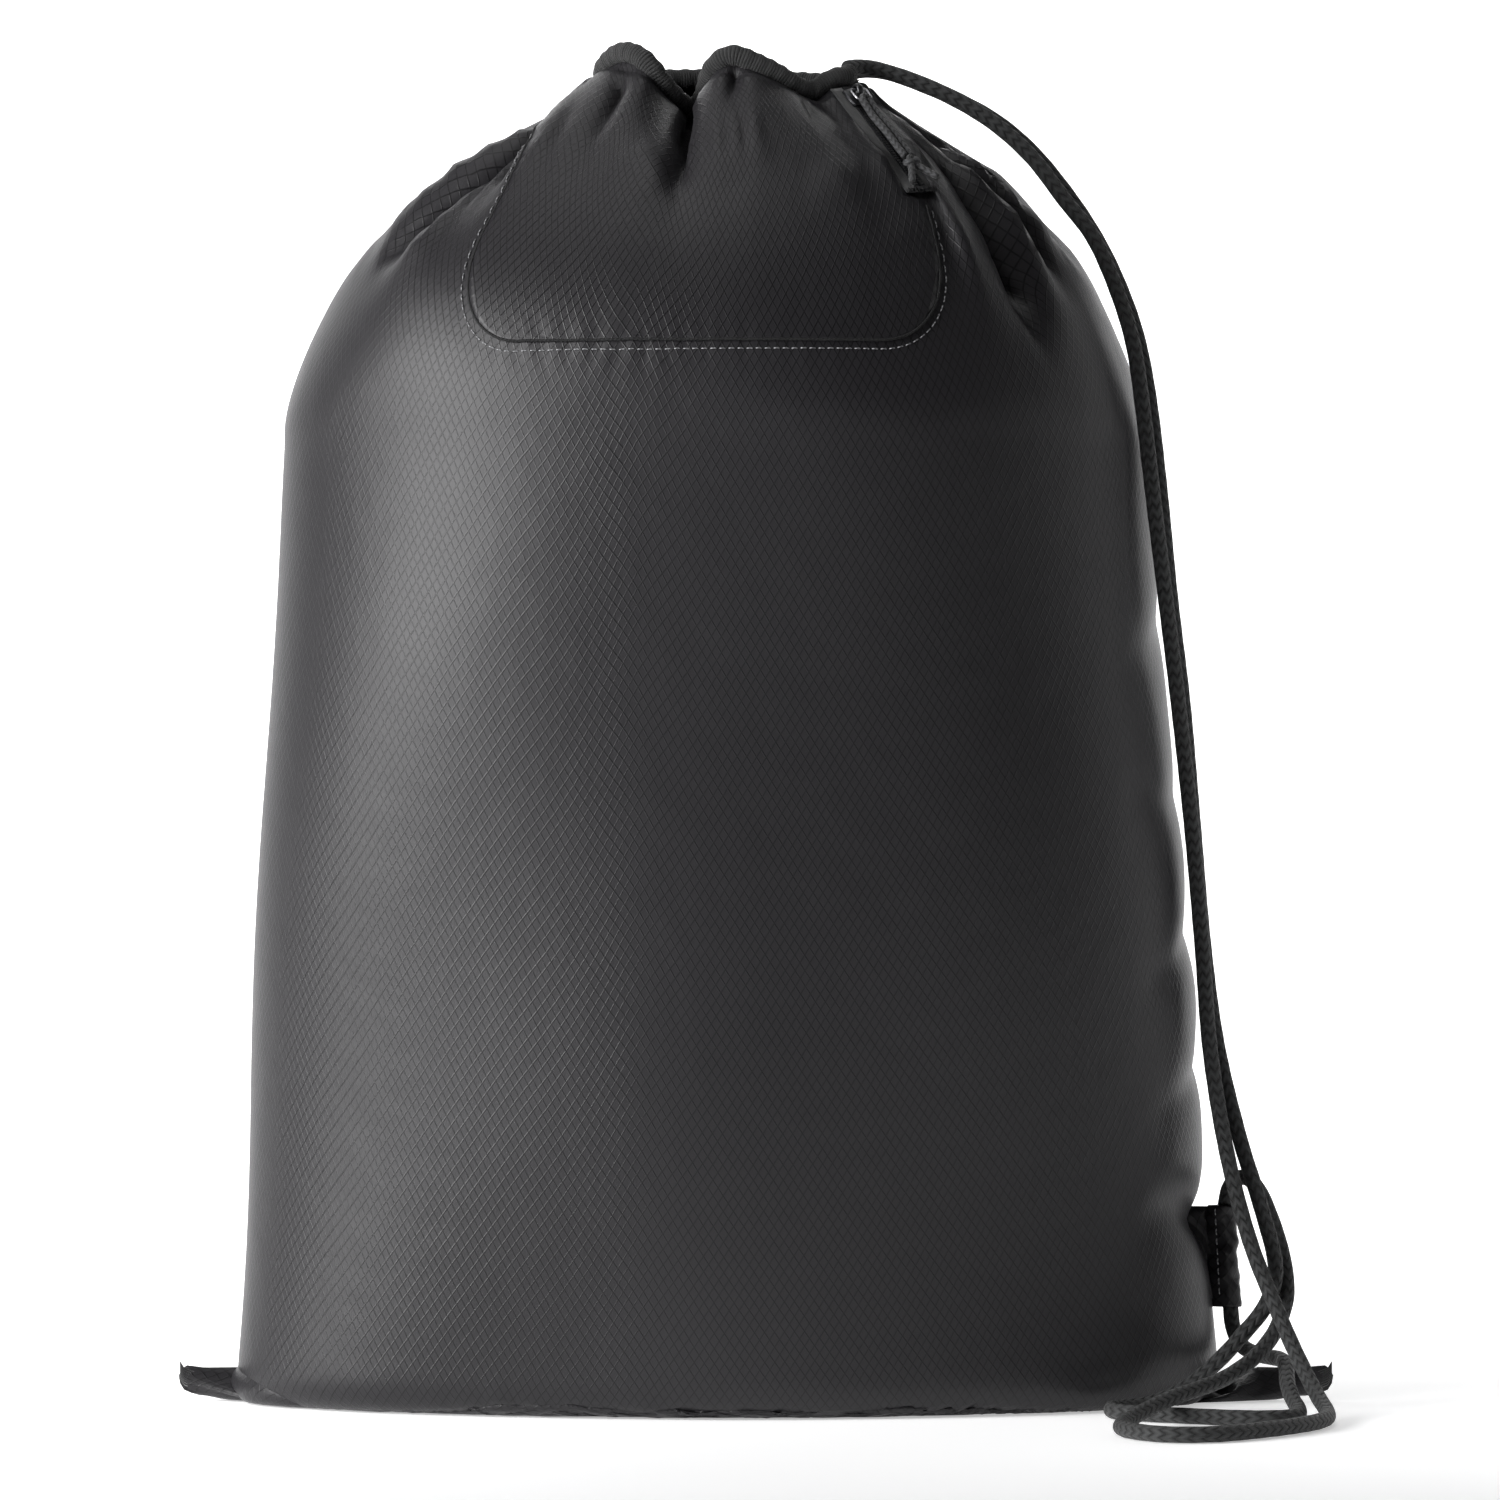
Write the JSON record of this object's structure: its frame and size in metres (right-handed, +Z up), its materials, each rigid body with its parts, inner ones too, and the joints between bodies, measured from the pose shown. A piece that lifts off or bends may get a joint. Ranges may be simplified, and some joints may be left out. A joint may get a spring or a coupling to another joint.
{
  "type": "laundry bag",
  "caption": "Filled drawcord laundry bag of dark ripstop cloth, standing, with a gathered mouth, a zipped stow pocket and a long cord looped to a corner tab.",
  "frame": {"origin": "on the floor, under the middle of the bag between its two bottom corners", "axes": "+Z up; the front with the stow pocket faces -Y; +X is the side that the drawcord and the corner tab are on"},
  "size_m": [0.444, 0.3093, 0.518],
  "materials": {
    "ripstop_cloth": "thin coated nylon with a fine diamond ripstop grid and a soft sheen",
    "seam_binding": "matt overlocked seam allowance",
    "tunnel_tape": "black ribbed tape",
    "thread": "grey polyester thread",
    "zip_tape": "black woven zip tape",
    "zip_coil": "black nylon coil",
    "zip_metal": "black lacquered zinc",
    "bail_wire": "bare wire",
    "pull_cord": "thin flat-braided cord",
    "drawcord": "round braided polyester cord"
  },
  "bodies": {
    "bag": {"front_panel": "ripstop_cloth", "back_panel": "ripstop_cloth", "stow_pocket": "ripstop_cloth", "corner_tab": "ripstop_cloth", "side_seam_left": "seam_binding", "side_seam_right": "seam_binding", "bottom_seam": "seam_binding", "drawcord_tunnel": "tunnel_tape", "tunnel_stitching": "thread", "pocket_stitching": "thread", "tab_stitching": "thread", "zipper_tape_left": "zip_tape", "zipper_tape_right": "zip_tape", "zipper_coil_left": "zip_coil", "zipper_coil_right": "zip_coil", "zipper_top_stop": "zip_metal", "zipper_bottom_stop": "zip_metal", "drawcord_in_tunnel": "drawcord", "drawcord_strand_a": "drawcord", "drawcord_strand_b": "drawcord", "drawcord_in_tab": "drawcord"},
    "slider": {"zipper_slider": "zip_metal"},
    "pull": {"slider_bail": "bail_wire", "pull_cord": "pull_cord", "pull_knot": "pull_cord"}
  },
  "joints": [
    {"name": "zip_slide", "type": "slide", "parent": "bag", "child": "slider", "axis": [0.4264, -0.6396, -0.6396], "range_m": [0, 0.05]},
    {"name": "pull_swing", "type": "hinge", "parent": "slider", "child": "pull", "pos_m": [0.03872, -0.03339, 0.50128], "axis": [-0.8669, -0.4908, -0.0871], "range_deg": [0, 150]}
  ]
}
